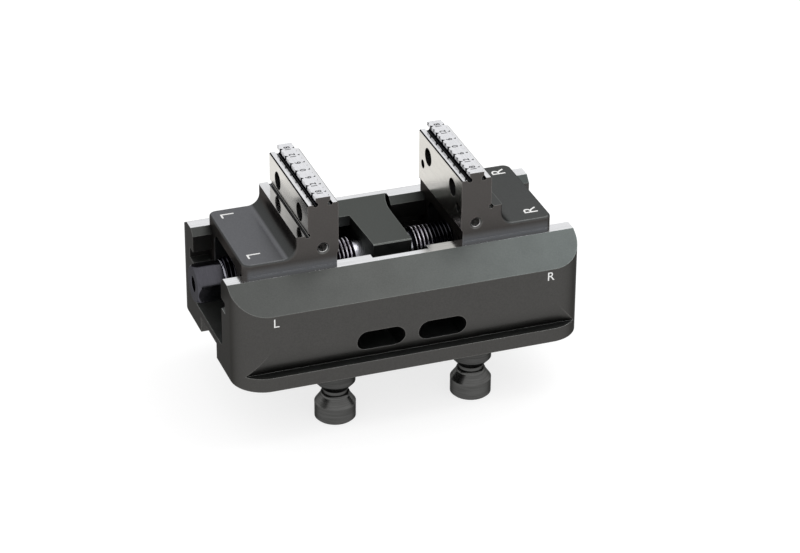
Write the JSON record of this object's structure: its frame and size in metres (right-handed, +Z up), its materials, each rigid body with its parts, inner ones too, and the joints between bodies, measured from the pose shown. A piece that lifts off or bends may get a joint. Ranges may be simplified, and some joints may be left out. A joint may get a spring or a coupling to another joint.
{
  "type": "self centering vise",
  "caption": "Channelled steel base on pull studs, with two mirrored stepped jaws that a left and right hand spindle moves together.",
  "frame": {"origin": "under the middle of the base, at the level of the pull studs' feet", "axes": "+X along the spindle towards the right jaw, +Y towards the rear, +Z up"},
  "size_m": [0.1352, 0.0776, 0.0867],
  "materials": {
    "base_steel": "satin",
    "jaw_steel": "satin",
    "spindle_steel": "satin",
    "bearing_steel": "satin",
    "stud_steel": "polished",
    "fastener_steel": "satin",
    "ring_bronze": "satin"
  },
  "bodies": {
    "base": {"base_body": "base_steel", "bearing_block": "bearing_steel", "bearing_cover": "bearing_steel", "cover_screw_front": "fastener_steel", "cover_screw_rear": "fastener_steel", "bearing_pin_left": "fastener_steel", "bearing_pin_right": "fastener_steel", "thrust_ring_left": "ring_bronze", "thrust_ring_right": "ring_bronze", "pull_stud_front_left": "stud_steel", "pull_stud_front_right": "stud_steel", "pull_stud_rear_left": "stud_steel", "pull_stud_rear_right": "stud_steel"},
    "left_jaw": {"left_jaw": "jaw_steel"},
    "right_jaw": {"right_jaw": "jaw_steel"},
    "spindle": {"spindle": "spindle_steel"}
  },
  "joints": [
    {"name": "spindle_turn", "type": "hinge", "parent": "base", "child": "spindle", "pos_m": [0, 0, 0.0482], "axis": [1, 0, 0], "range_deg": [-2160, 2400]},
    {"name": "right_jaw_slide", "type": "slide", "parent": "base", "child": "right_jaw", "axis": [1, 0, 0], "range_m": [-0.009, 0.01]},
    {"name": "left_jaw_slide", "type": "slide", "parent": "base", "child": "left_jaw", "axis": [-1, 0, 0], "range_m": [-0.009, 0.01]}
  ],
  "couplings": [
    {"joint": "spindle_turn", "follows": "right_jaw_slide", "rad_per_m": 4188.8},
    {"joint": "left_jaw_slide", "follows": "right_jaw_slide", "ratio": 1}
  ]
}
